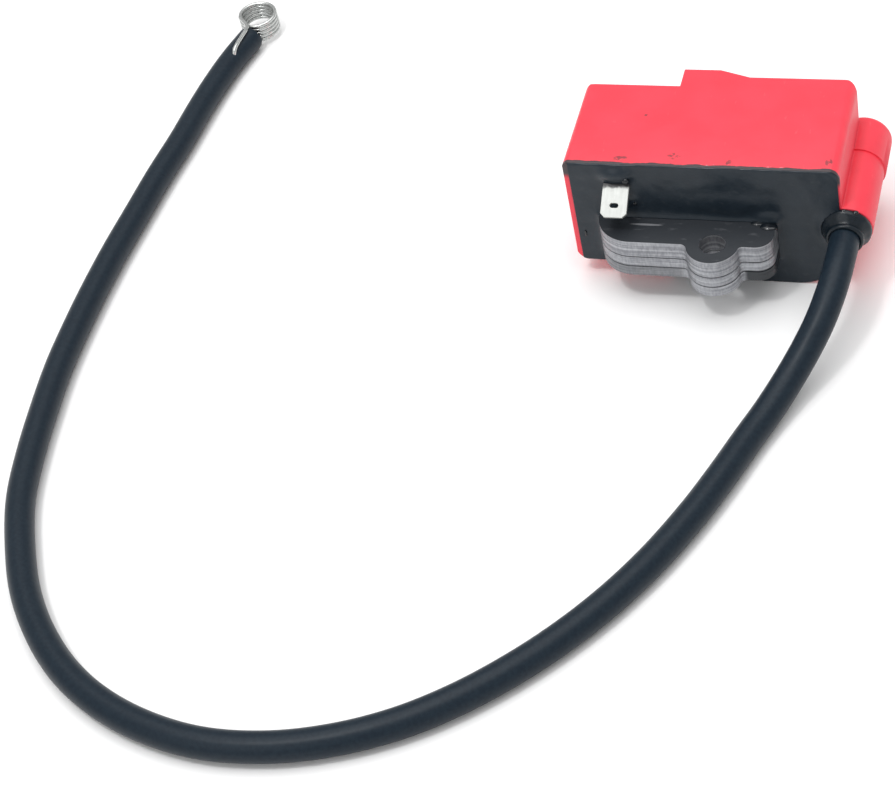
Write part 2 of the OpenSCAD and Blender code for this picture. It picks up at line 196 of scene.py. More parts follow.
def finish_object(
    name: str,
    data: bpy.types.ID,
    material: bpy.types.Material,
    replaces: Iterable[str] = (),
) -> bpy.types.Object:
    """Links a mesh or curve as a piece of the object.

    Args:
        name: The piece's name.
        data: Its mesh or curve, in the row frame.
        material: The finish of the whole piece.
        replaces: CAD nodes that the piece stands for.

    Returns:
        The new object, which rides on the module's body.
    """
    data.materials.clear()
    data.materials.append(material)
    piece = bpy.data.objects.new(name, data)
    bpy.context.scene.collection.objects.link(piece)
    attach(piece, BODY)
    for node in replaces:
        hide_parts(node)
    return piece


def smooth_route(points: Sequence[Point], steps: int) -> list[Vector]:
    """A Catmull-Rom curve through a route's points.

    Args:
        points: The route in the module's millimetres.
        steps: New points for each stretch between two of the route's.

    Returns:
        Points in the module's millimetres that start and end where the route does.
    """
    route = [Vector(p) for p in points]
    route = [2 * route[0] - route[1], *route, 2 * route[-1] - route[-2]]
    curve = []
    for a, b, c, d in zip(route, route[1:], route[2:], route[3:]):
        for step in range(steps):
            t = step / steps
            curve.append(
                0.5
                * (
                    2 * b
                    + (c - a) * t
                    + (2 * a - 5 * b + 4 * c - d) * t**2
                    + (3 * b - a - 3 * c + d) * t**3
                )
            )
    curve.append(route[-2])
    return curve


def round_wire(
    name: str, points: Sequence[Vector], radii: Sequence[float], sides: int
) -> bpy.types.Curve:
    """A closed round wire along one open spline.

    Args:
        name: The curve's name.
        points: Its middle line in the module's millimetres.
        radii: Its radius at each point in millimetres.
        sides: About how many sides its section has.

    Returns:
        The curve, in the row frame.
    """
    curve = bpy.data.curves.new(name, "CURVE")
    curve.dimensions = "3D"
    curve.bevel_depth = max(radii) * MM
    curve.bevel_resolution = sides // 4
    curve.use_fill_caps = True
    spline = curve.splines.new("POLY")
    spline.points.add(len(points) - 1)
    for point, position, radius in zip(spline.points, points, radii):
        point.co = (*place(*position), 1.0)
        point.radius = radius / max(radii)
    spline.use_smooth = True
    return curve


# ------------------------------------------------------------------ shader maths


class Value:
    """A number that varies over a surface, with Python's operators on it."""

    def __init__(self, graph: "Graph", socket: bpy.types.NodeSocket) -> None:
        """Wraps a node's output socket in its graph."""
        self.graph = graph
        self.socket = socket

    def _math(self, operation: str, first: object, second: object) -> "Value":
        """The result of one Math node.

        Args:
            operation: The node's operation.
            first: Its first input, a number or a Value.
            second: Its second input, a number or a Value.

        Returns:
            The node's output.
        """
        node = self.graph.node("ShaderNodeMath", {"operation": operation}, {0: first, 1: second})
        return Value(self.graph, node.outputs[0])

    def __add__(self, other: object) -> "Value":
        """self + other."""
        return self._math("ADD", self, other)

    __radd__ = __add__

    def __sub__(self, other: object) -> "Value":
        """self - other."""
        return self._math("SUBTRACT", self, other)

    def __rsub__(self, other: object) -> "Value":
        """other - self."""
        return self._math("SUBTRACT", other, self)

    def __mul__(self, other: object) -> "Value":
        """self * other."""
        return self._math("MULTIPLY", self, other)

    __rmul__ = __mul__

    def __truediv__(self, other: object) -> "Value":
        """self / other."""
        return self._math("DIVIDE", self, other)

    def __pow__(self, other: object) -> "Value":
        """self ** other."""
        return self._math("POWER", self, other)

    def at_least(self, other: object) -> "Value":
        """The larger of self and other."""
        return self._math("MAXIMUM", self, other)

    def pingpong(self, scale: float) -> "Value":
        """Self folded back and forth between 0 and a number.

        Args:
            scale: The largest value.

        Returns:
            The folded value.
        """
        return self._math("PINGPONG", self, scale)

    def step(self, low: float, high: float) -> "Value":
        """0 at low, 1 at high and smooth between them; low may be the larger.

        Args:
            low: The value that gives 0.
            high: The value that gives 1.

        Returns:
            A number from 0 to 1.
        """
        ends = (0.0, 1.0) if low < high else (1.0, 0.0)
        node = self.graph.node(
            "ShaderNodeMapRange",
            {"interpolation_type": "SMOOTHSTEP", "clamp": True},
            {
                "Value": self,
                "From Min": min(low, high),
                "From Max": max(low, high),
                "To Min": ends[0],
                "To Max": ends[1],
            },
        )
        return Value(self.graph, node.outputs["Result"])


class Graph:
    """A material's nodes, built from expressions on Values."""

    def __init__(self, name: str) -> None:
        """Starts a material with one Principled shader.

        Args:
            name: The material's name.
        """
        self.material = bpy.data.materials.new(name)
        self.material.use_nodes = True
        self.tree = self.material.node_tree
        self.shader = self.tree.nodes["Principled BSDF"]
        self.position = self.node("ShaderNodeTexCoord", {}, {}).outputs["Object"]

    def node(self, kind: str, settings: dict, inputs: dict) -> bpy.types.Node:
        """Adds one node.

        Args:
            kind: Its type's name.
            settings: Properties to set first.
            inputs: Values or links for its sockets, by name or number.

        Returns:
            The new node.
        """
        node = self.tree.nodes.new(kind)
        for name, value in settings.items():
            setattr(node, name, value)
        for name, value in inputs.items():
            self.feed(node.inputs[name], value)
        return node

    def feed(self, socket: bpy.types.NodeSocket, value: object) -> None:
        """Links or sets one input socket.

        Args:
            socket: The input.
            value: A Value, an output socket, a number or a colour.
        """
        if isinstance(value, Value):
            self.tree.links.new(value.socket, socket)
        elif isinstance(value, bpy.types.NodeSocket):
            self.tree.links.new(value, socket)
        elif isinstance(value, tuple) and socket.type == "RGBA":
            socket.default_value = (*value, 1.0)
        else:
            socket.default_value = value

    def axes(self) -> tuple[Value, Value, Value]:
        """The surface's place as three Values in the module's millimetres."""
        parts = self.node("ShaderNodeSeparateXYZ", {}, {0: self.position}).outputs
        x, y, z = ((Value(self, part) - CORNER[i]) / MM for i, part in enumerate(parts))
        return x, y, z

    def noise(
        self, size: float, detail: float = 3.0, stretch: Point = (1.0, 1.0, 1.0), shift: float = 0.0
    ) -> Value:
        """Smooth noise from about 0 to 1 that is fixed to the surface.

        Args:
            size: Size of its largest features in millimetres.
            detail: Octaves of finer noise.
            stretch: How much shorter the features are along X, Y and Z.
            shift: Moves the pattern, in millimetres, so that two of them differ.

        Returns:
            The noise.
        """
        mapping = self.node(
            "ShaderNodeMapping",
            {},
            {"Vector": self.position, "Location": (shift * MM,) * 3, "Scale": stretch},
        )
        node = self.node(
            "ShaderNodeTexNoise",
            {},
            {"Vector": mapping.outputs[0], "Scale": 1.0 / (size * MM), "Detail": detail},
        )
        return Value(self, node.outputs["Fac"])

    def mix(self, factor: object, first: object, second: object) -> bpy.types.NodeSocket:
        """A colour between two others.

        Args:
            factor: 0 for the first colour, 1 for the second.
            first: A colour or a colour socket.
            second: A colour or a colour socket.

        Returns:
            The mixed colour's socket.
        """
        node = self.node("ShaderNodeMix", {"data_type": "RGBA"}, {})
        colours = [socket for socket in node.inputs if socket.type == "RGBA"]
        self.feed(node.inputs[0], factor)
        self.feed(colours[0], first)
        self.feed(colours[1], second)
        return next(socket for socket in node.outputs if socket.type == "RGBA")

    def spot(self, u: Value, v: Value, centre: tuple[float, float], size: tuple[float, float]) -> Value:
        """A soft-edged ellipse: 1 inside and 0 outside.

        Args:
            u: The first coordinate in millimetres.
            v: The second coordinate in millimetres.
            centre: The ellipse's middle.
            size: Its two radii.

        Returns:
            The ellipse's mask.
        """
        far = ((u - centre[0]) / size[0]) ** 2 + ((v - centre[1]) / size[1]) ** 2
        return far.step(1.2, 0.5)

    def bump(self, height: Value, depth: float) -> None:
        """Gives the shader a bumpy normal.

        Args:
            height: The relief, from 0 to 1.
            depth: The relief's height in millimetres.
        """
        node = self.node("ShaderNodeBump", {}, {"Height": height, "Distance": depth * MM})
        self.feed(self.shader.inputs["Normal"], node.outputs["Normal"])

    def surface(self, **sockets: object) -> None:
        """Feeds the shader's sockets, named with _ for a space."""
        for name, value in sockets.items():
            self.feed(self.shader.inputs[name.replace("_", " ")], value)


# ------------------------------------------------------------------ finishes


@dataclass(frozen=True)
class Finish:
    """A plain finish with two close tones, uneven gloss and a fine relief."""

    name: str
    light: Colour
    dark: Colour
    rough: tuple[float, float] = (0.4, 0.6)
    metallic: float = 0.0
    specular: float = 0.5
    grain: float = 0.6
    relief: float = 0.01
    stretch: Point = (1.0, 1.0, 1.0)

    def build(self) -> bpy.types.Material:
        """Makes the material."""
        graph = Graph(self.name)
        graph.surface(Specular_IOR_Level=self.specular, Metallic=self.metallic)
        self.paint(graph)
        return graph.material

    def paint(self, graph: Graph) -> None:
        """Feeds the colour, the roughness and the relief.

        Args:
            graph: The material's nodes.
        """
        tone = graph.noise(self.grain, stretch=self.stretch)
        cloud = graph.noise(self.grain * 6, shift=3)
        graph.surface(
            Base_Color=graph.mix(tone.step(0.3, 0.7), self.dark, self.light),
            Roughness=self.rough[0] + cloud * (self.rough[1] - self.rough[0]),
        )
        graph.bump(tone, self.relief)


@dataclass(frozen=True)
class MouldedRed(Finish):
    """Red moulded plastic with smears of epoxy, and pale nicks and a painted highlight along the open
    face's top edge.
    """

    smear: Colour = (0.05, 0.035, 0.04)
    # Pale pink of the scuffs and nicks, also used for the painted highlight along the open edge.
    pale_nick_and_highlight: Colour = (0.95, 0.62, 0.62)
    smears: tuple[tuple[float, float, float, float], ...] = (
        (12.8, 1.9, 1.9, 1.0),
        (25.1, 3.3, 1.7, 1.2),
        (38.2, 1.6, 0.8, 1.2),
        (15.8, 17.4, 0.45, 0.45),
        (60.8, 3.0, 0.9, 1.3),
    )
    top_face: tuple[float, float] = (30.0, 32.0)
    nick_and_highlight_from: tuple[float, float] = (29.0, 31.0)
    nick_and_highlight_to: tuple[float, float] = (53.0, 50.0)

    def paint(self, graph: Graph) -> None:
        """Feeds the colour, the roughness and the relief.

        Args:
            graph: The material's nodes.
        """
        x, y, z = graph.axes()
        cloud = graph.noise(9.0, detail=4.0)
        fine = graph.noise(0.5, detail=4.0, shift=7)
        scuff = graph.noise(1.1, detail=6.0, stretch=(1.0, 0.3, 1.0), shift=11).step(0.66, 0.78)
        base = graph.mix(cloud.step(0.3, 0.7), self.dark, self.light)
        base = graph.mix(scuff * 0.05, base, self.pale_nick_and_highlight)
        torn = graph.noise(0.9, detail=5.0, shift=2)
        dirt = None
        for cx, cy, rx, ry in self.smears:
            spot = graph.spot(x, y, (cx, cy), (rx, ry))
            dirt = spot if dirt is None else dirt.at_least(spot)
        top = z.step(*self.top_face)
        dirt = dirt * top * torn.step(0.36, 0.6)
        front = graph.noise(3.2, detail=4.0, shift=5)
        # Intermittent pale line along the top face's open edge, x 30 to 52: partly nicks, partly a
        # painted highlight on the rounded edge.
        nicks_and_highlight = (y + front * 1.6).step(1.7, 1.3) * x.step(*self.nick_and_highlight_from) * x.step(*self.nick_and_highlight_to)
        nicks_and_highlight = nicks_and_highlight * top * torn.step(0.52, 0.6)
        edge = (y - front * 1.5).step(0.1, -0.2) * top
        base = graph.mix(nicks_and_highlight * 0.7, base, self.pale_nick_and_highlight)
        base = graph.mix((dirt * 0.7).at_least(edge), base, self.smear)
        graph.surface(
            Base_Color=base,
            Roughness=self.rough[0] + cloud * (self.rough[1] - self.rough[0]) - dirt * 0.1,
        )
        graph.bump(fine * 0.6 + cloud * 2.0 + dirt, self.relief)


@dataclass(frozen=True)
class PouredEpoxy(Finish):
    """Black epoxy: soft waves, fine pits and a film of grey dust in random patches."""

    dust: Colour = (0.05, 0.055, 0.06)

    def paint(self, graph: Graph) -> None:
        """Feeds the colour, the roughness and the relief.

        Args:
            graph: The material's nodes.
        """
        wave = graph.noise(5.0, detail=2.0)
        fine = graph.noise(0.35, detail=4.0, shift=4)
        dust = graph.noise(1.4, detail=6.0, shift=9).step(0.56, 0.74)
        base = graph.mix(wave.step(0.3, 0.7), self.dark, self.light)
        graph.surface(
            Base_Color=graph.mix(dust * 0.2, base, self.dust),
            Roughness=self.rough[0] + wave * (self.rough[1] - self.rough[0]) + dust * 0.12,
        )
        graph.bump(wave * 6.0 + fine * 0.8, self.relief)


@dataclass(frozen=True)
class ShearedSteel(Finish):
    """Electrical steel: sheared edges with fine level marks, epoxy on the upper face, a painted shade
    on the lower pack left of the lug, and a near-black lower pack right of it.
    """

    # Near-black of the epoxy film, also used for the painted shade on the lower pack.
    near_black: Colour = (0.018, 0.022, 0.028)
    top: float = 19.8
    lower_pack: tuple[float, float] = (12.6, 12.0)
    right_of_lug: tuple[float, float] = (41.0, 42.5)
    left_of_lug: tuple[float, float] = (28.0, 26.0)
    # Strength of the painted shade on the lower pack left of the lug.
    left_painted_shade: float = 0.45
    scrape: tuple[float, float] = (18.0, -3.4)
    scrape_size: tuple[float, float] = (4.0, 0.35)

    def paint(self, graph: Graph) -> None:
        """Feeds the colour, the roughness and the relief.

        Args:
            graph: The material's nodes.
        """
        x, y, z = graph.axes()
        layers = graph.noise(0.55, detail=2.0, stretch=(0.02, 0.02, 1.0))
        marks = graph.noise(0.5, detail=4.0, stretch=(1.0, 1.0, 0.3)) * 0.35 + layers * 0.65
        patch = graph.noise(2.6, detail=5.0, shift=6)
        streak = graph.noise(1.2, detail=5.0, stretch=(0.3, 1.0, 1.0), shift=13)
        steel = graph.mix(marks.step(0.3, 0.7), self.dark, self.light)
        upper = z.step(self.top - 0.17, self.top - 0.1)
        bare = streak.step(0.6, 0.74) * 0.12 + graph.spot(x, y, self.scrape, self.scrape_size) * 0.5
        film = upper * (1 - bare)
        behind = y.step(-0.9, -0.2)
        # The lower pack is made near-black right of the lug; left of the lug it gets a weaker painted
        # shade.
        dark_lower_pack = (x.step(*self.right_of_lug) * z.step(*self.lower_pack)).at_least(
            x.step(*self.left_of_lug) * z.step(*self.lower_pack) * self.left_painted_shade
        )
        seep = patch.step(0.6, 0.72) * 0.2
        # Epoxy film, epoxy by the front face, seepage, and the darkened lower pack with its painted
        # shade.
        epoxy_and_shade = film.at_least(behind).at_least(dark_lower_pack).at_least(seep)
        graph.surface(
            Base_Color=graph.mix(epoxy_and_shade, steel, self.near_black),
            Metallic=self.metallic * (1 - epoxy_and_shade),
            Roughness=self.rough[0] + marks * (self.rough[1] - self.rough[0]) + film * 0.1,
        )
        graph.bump(marks + patch * 1.5, self.relief)


@dataclass(frozen=True)
class TinnedSheet(Finish):
    """Tinned strip with lengthwise rolling marks, and epoxy that crept over its root."""

    # Near-black of the epoxy that crept over the root.
    near_black: Colour = (0.03, 0.03, 0.033)
    root_z: float = 29.3

    def paint(self, graph: Graph) -> None:
        """Feeds the colour, the roughness and the relief.

        Args:
            graph: The material's nodes.
        """
        x, y, z = graph.axes()
        rolled = graph.noise(0.5, detail=4.0, stretch=(1.0, 0.12, 0.12))
        patch = graph.noise(1.8, detail=5.0, shift=4)
        creep = (z + patch * 1.2).step(self.root_z + 0.2, self.root_z + 0.7)
        creep = creep.at_least(y.step(-0.8, -0.3))
        metal = graph.mix((rolled * 0.6 + patch * 0.4).step(0.3, 0.7), self.dark, self.light)
        graph.surface(
            Base_Color=graph.mix(creep, metal, self.near_black),
            Metallic=self.metallic * (1 - creep),
            Roughness=self.rough[0] + patch * (self.rough[1] - self.rough[0]),
        )
        graph.bump(rolled + patch, self.relief)


@dataclass(frozen=True)
class WoundWire(Finish):
    """Enamelled copper wire wound in rows around a former that lies along Y."""

    wire: float = 0.25

    def paint(self, graph: Graph) -> None:
        """Feeds the colour, the roughness and the relief.

        Args:
            graph: The material's nodes.
        """
        _, y, _ = graph.axes()
        rows = (y / self.wire).pingpong(1.0)
        cloud = graph.noise(2.5, shift=3)
        graph.surface(
            Base_Color=graph.mix((rows * 0.7 + cloud * 0.3).step(0.1, 0.8), self.dark, self.light),
            Roughness=self.rough[0] + cloud * (self.rough[1] - self.rough[0]),
        )
        graph.bump(rows, self.relief)


RED_CASE = MouldedRed(
    "red_case", (0.87, 0.050, 0.080), (0.80, 0.043, 0.070), (0.36, 0.5), specular=0.42, relief=0.02
)
EPOXY = PouredEpoxy(
    "potting_epoxy", (0.014, 0.022, 0.031), (0.009, 0.016, 0.024), (0.24, 0.4), specular=0.34,
    relief=0.02,
)
WET_EPOXY = PouredEpoxy(
    "epoxy_drop", (0.005, 0.008, 0.012), (0.003, 0.005, 0.008), (0.04, 0.1), relief=0.004
)
LAMINATION = ShearedSteel(
    "lamination_steel", (0.45, 0.46, 0.485), (0.20, 0.205, 0.225), (0.34, 0.52), 0.7, relief=0.03
)
TAB = TinnedSheet(
    "tinned_brass", (0.43, 0.44, 0.425), (0.36, 0.37, 0.355), (0.36, 0.5), 0.5, relief=0.012
)
SEAL_RUBBER = Finish(
    "seal_rubber", (0.007, 0.012, 0.018), (0.004, 0.008, 0.012), (0.22, 0.36), specular=0.32,
    relief=0.02,
)
LEAD_RUBBER = Finish(
    "lead_rubber", (0.010, 0.019, 0.029), (0.007, 0.014, 0.023), (0.34, 0.46), specular=0.2,
    grain=0.9, relief=0.008,
)
SPRING_WIRE = Finish(
    "spring_wire", (0.66, 0.67, 0.66), (0.44, 0.46, 0.45), (0.2, 0.34), 0.95, grain=0.4,
    relief=0.006,
)
TABLE_TOP = Finish(
    "table_top", (0.94, 0.94, 0.94), (0.93, 0.93, 0.93), (0.5, 0.6), specular=0.2, grain=30.0,
    relief=0.0,
)

INNER_FINISHES: dict[str, Finish] = {
    "bobbin": Finish("bobbin_plastic", (0.72, 0.66, 0.52), (0.64, 0.58, 0.44)),
    "primary_winding": WoundWire(
        "primary_wire", (0.62, 0.22, 0.07), (0.22, 0.07, 0.02), (0.2, 0.35), 0.8, wire=0.5,
        relief=0.12,
    ),
    "secondary_winding": WoundWire(
        "secondary_wire", (0.50, 0.15, 0.05), (0.2, 0.06, 0.02), (0.25, 0.4), 0.7, wire=0.12,
        relief=0.04,
    ),
    "circuit_board": Finish(
        "board_laminate", (0.10, 0.24, 0.07), (0.06, 0.17, 0.05), (0.3, 0.45), grain=0.4
    ),
    "transistor": Finish(
        "device_plastic", (0.030, 0.030, 0.033), (0.020, 0.020, 0.023), (0.45, 0.6), grain=0.2
    ),
    "capacitor": Finish("capacitor_plastic", (0.60, 0.37, 0.04), (0.52, 0.30, 0.03), (0.25, 0.4)),
    "diode": Finish(
        "diode_plastic", (0.035, 0.035, 0.038), (0.022, 0.022, 0.025), (0.3, 0.45), grain=0.3
    ),
    "resistors": Finish("resistor_coating", (0.62, 0.47, 0.28), (0.52, 0.38, 0.21), (0.35, 0.5)),
    "core_rivets": Finish("rivet_steel", (0.62, 0.62, 0.60), (0.46, 0.46, 0.45), (0.28, 0.42), 0.9),
    "copper": Finish(
        "bare_copper", (0.80, 0.40, 0.20), (0.62, 0.28, 0.13), (0.25, 0.4), 0.95, grain=0.4
    ),
    "spike": Finish("spike_brass", (0.80, 0.62, 0.30), (0.68, 0.50, 0.22), (0.2, 0.35), 0.95),
}


# ------------------------------------------------------------------ studio


@dataclass
class Softbox:
    """A square area light that faces the module."""

    name: str
    position: Point
    size: float
    power: float
    colour: Colour = (1.0, 1.0, 1.0)

    def build(self, target: Vector) -> None:
        """Adds the light.

        Args:
            target: The point that it faces, in metres.
        """
        light = bpy.data.lights.new(self.name, "AREA")
        light.shape = "SQUARE"
        light.size = self.size
        light.energy = self.power
        light.color = self.colour
        holder = bpy.data.objects.new(self.name, light)
        holder.location = self.position
        holder.rotation_euler = (target - holder.location).to_track_quat("-Z", "Y").to_euler()
        bpy.context.scene.collection.objects.link(holder)


@dataclass
class Studio:
    """A white table in soft light, with the camera above the module's front right."""

    elevation: float = 45.23
    azimuth: float = -24.79
    roll: float = -14.35
    distance: float = 557.47
    target: Point = (-24.22, -42.55, 0.0)
    lens: float = 95.54
    sensor: float = 36.0
    table_size: float = 6.0
    surroundings: float = 0.58
    lit_point: Point = (20.0, 0.0, 10.0)
    lights: tuple[Softbox, ...] = (
        Softbox("overhead_softbox", (-0.05, 0.15, 1.5), 1.6, 18.0),
        Softbox("front_softbox", (-0.5, -1.2, 0.9), 0.8, 2.5),
        Softbox("small_lamp", (-0.25, -0.35, 1.1), 0.12, 2.5),
    )

    def build_camera(self) -> None:
        """Adds the camera and makes it the scene's."""
        up_angle = math.radians(self.elevation)
        turn = math.radians(self.azimuth)
        tilt = math.radians(self.roll)
        forward = Vector(
            (
                math.sin(turn) * math.cos(up_angle),
                math.cos(turn) * math.cos(up_angle),
                -math.sin(up_angle),
            )
        )
        level = forward.cross(Vector((0, 0, 1))).normalized()
        upright = level.cross(forward)
        right = math.cos(tilt) * level + math.sin(tilt) * upright
        up = math.cos(tilt) * upright - math.sin(tilt) * level
        data = bpy.data.cameras.new("camera")
        data.lens = self.lens
        data.sensor_width = self.sensor
        data.clip_start = 0.01
        camera = bpy.data.objects.new("camera", data)
        turned = Matrix((right, up, -forward)).transposed().to_4x4()
        camera.matrix_world = Matrix.Translation(
            place(*self.target) - forward * self.distance * MM
        ) @ turned
        bpy.context.scene.collection.objects.link(camera)
        bpy.context.scene.camera = camera

    def build_light(self) -> None:
        """Adds the surroundings and the lights."""
        world = bpy.data.worlds.new("white_room")
        world.use_nodes = True
        world.node_tree.nodes["Background"].inputs["Color"].default_value = (1, 1, 1, 1)
        world.node_tree.nodes["Background"].inputs["Strength"].default_value = self.surroundings
        scene = bpy.context.scene
        scene.world = world
        scene.view_settings.view_transform = "Standard"
        for light in self.lights:
            light.build(place(*self.lit_point))

    def build_table(self) -> None:
        """Adds the table that the module stands on."""
        mesh = bmesh.new()
        bmesh.ops.create_grid(mesh, x_segments=1, y_segments=1, size=self.table_size / 2)
        data = bpy.data.meshes.new("table")
        mesh.to_mesh(data)
        mesh.free()
        data.materials.append(TABLE_TOP.build())
        table = bpy.data.objects.new("table", data)
        bpy.context.scene.collection.objects.link(table)


# ------------------------------------------------------------------ lead and spring


@dataclass
class ContactSpring:
    """The coil of wire that holds the plug's terminal, with a leg that dips into the lead."""

    centre: tuple[float, float] = (-112.2, 88.0)
    radius: float = 4.85
    wire: float = 1.12
    end_share: float = 0.72
    bottom: float = 1.6
    pitch: float = 1.15
    turns: int = 5
    steps: int = 36
    last_angle: float = 212.0
    leg: tuple[Point, ...] = (
        (-113.1, 81.5, 7.6),
        (-113.5, 76.0, 7.6),
        (-113.8, 72.0, 7.3),
        (-114.0, 70.6, 5.0),
    )

    def path(self) -> list[Vector]:
        """The wire's middle line, from the coil's lowest turn to the leg's tip."""
        coil = []
        for i in range(self.turns * self.steps + 1):
            turn = i / self.steps
            angle = math.radians(self.last_angle + 360 * (turn - self.turns))
            coil.append(
                (
                    self.centre[0] + self.radius * math.cos(angle),
                    self.centre[1] + self.radius * math.sin(angle),
                    self.bottom + self.pitch * turn,
                )
            )
        return smooth_route((*coil, *self.leg), 3)

    def build(self) -> bpy.types.Object:
        """Makes the spring's piece."""
        points = self.path()
        radii = [self.wire / 2] * len(points)
        radii[0] = radii[-1] = self.wire / 2 * self.end_share
        curve = round_wire("spring", points, radii, 16)
        return finish_object(
            "spring", curve, SPRING_WIRE.build(), ["contact_spring"]
        )


@dataclass
class Lead:
    """The 7 mm high-tension lead, from the tower to the contact spring."""

    diameter: float = 7.0
    length: float = 486.0
    rest: float = 3.6
    smooth_steps: int = 6
    end_radii: tuple[float, ...] = (1.0, 0.985, 0.95, 0.88, 0.78)
    end_length: float = 0.9

    def route(self) -> list[Point]:
        """The lead's middle line, with the same points as its CAD solid."""
        rest = self.rest
        return [
            (64.4, 13.4, 18.3), (64.4, 4, 18.3), (64.4, -6, 18.3),
            (64, -14, 17.5), (63, -20, 15.5), (61.2, -26, 12.5), (58.5, -32, 9), (55.4, -38.5, 6),
            (52.2, -46, 4.2), (49, -54, rest), (45.2, -65, rest), (41, -76, rest), (35, -89, rest),
            (28, -101, rest), (20, -112, rest), (11, -122, rest), (1, -131, rest),
            (-10, -138.5, rest), (-22, -144, rest), (-35, -147.5, rest), (-49, -148.5, rest),
            (-62, -146.5, rest), (-74.5, -142, rest), (-86, -135, rest), (-96, -125.5, rest),
            (-104.5, -114, rest), (-111, -101, rest), (-116, -88, rest), (-119, -74, rest),
            (-121, -60, rest), (-122.5, -46, rest), (-123, -32, rest), (-123, -18, rest),
            (-122.5, -4, rest), (-121.5, 10, rest), (-120.5, 24, rest), (-119, 38, rest),
            (-118, 52, rest), (-116.8, 63, rest), (-115.2, 72.5, rest), (-112.8, 82.2, rest),
        ]

    def build(self, spring: bpy.types.Object, exit_y: float) -> bpy.types.Object:
        """Args:
            spring: The spring on its far end; not used.
            exit_y: Where it leaves the seal; not used.

        Returns:
            The lead.
        """
        points = smooth_route(self.route(), self.smooth_steps)
        radii = [self.diameter / 2] * len(points)
        last = points.pop()
        radii.pop()
        along = (last - points[-1]).normalized()
        for i, share in enumerate(self.end_radii):
            back = self.end_length * (1 - i / (len(self.end_radii) - 1)) ** 2
            points.append(last - along * back)
            radii.append(share * self.diameter / 2)
        curve = round_wire("lead", points, radii, 32)
        piece = finish_object(
            "lead", curve, LEAD_RUBBER.build(), ["ignition_lead"]
        )
        return piece


# ------------------------------------------------------------------ module


@dataclass
class Case:
    """The red moulded cup with its tower, with eased edges."""

    edge: float = 0.32
    segments: int = 3
    skin: float = 0.06
    sharp: float = 30.0
    step_y: float = 20.0
    left_depth: float = 28.4
    right_wall: float = 63.5
    raised_floor: float = 4.5

    def is_outside(self, vertex: bmesh.types.BMVert) -> bool:
        """Whether a vertex lies on one of the case's outer faces."""
        low, high = module_box("case")
        x, y, z = (vertex.co - CORNER) / MM
        on_end = y > self.left_depth - self.skin
        on_top = z < low.z + self.skin or z > high.z - self.skin
        on_floor = on_top or abs(z - self.raised_floor) < self.skin
        on_side = x < low.x + self.skin or x > self.right_wall - self.skin
        return on_end or on_floor or on_side

    def wants_round(self, edge: bmesh.types.BMEdge) -> bool:
        """Whether an edge is eased: an outer one, but not the small step on the tower."""
        ys = [(vertex.co.y - CORNER.y) / MM for vertex in edge.verts]
        on_step = all(abs(y - self.step_y) < self.skin for y in ys)
        return not on_step and all(self.is_outside(vertex) for vertex in edge.verts)

    def build(self) -> bpy.types.Object:
        """Makes the case's piece."""
        mesh = merged("case")
        bevel(mesh, sharp_edges(mesh, self.sharp, self.wants_round), self.edge, self.segments)
        return finish_mesh("red_case", mesh, RED_CASE.build(), ["case"])


@dataclass
class Bulge:
    """A soft hump in the epoxy's face."""

    x: float
    z: float
    width: float
    height: float
    rise: float

    def at(self, x: float, z: float) -> float:
        """How far it stands out at a point of the face, in millimetres."""
        far = ((x - self.x) / self.width) ** 2 + ((z - self.z) / self.height) ** 2
        return self.rise * math.exp(-(far**1.5))


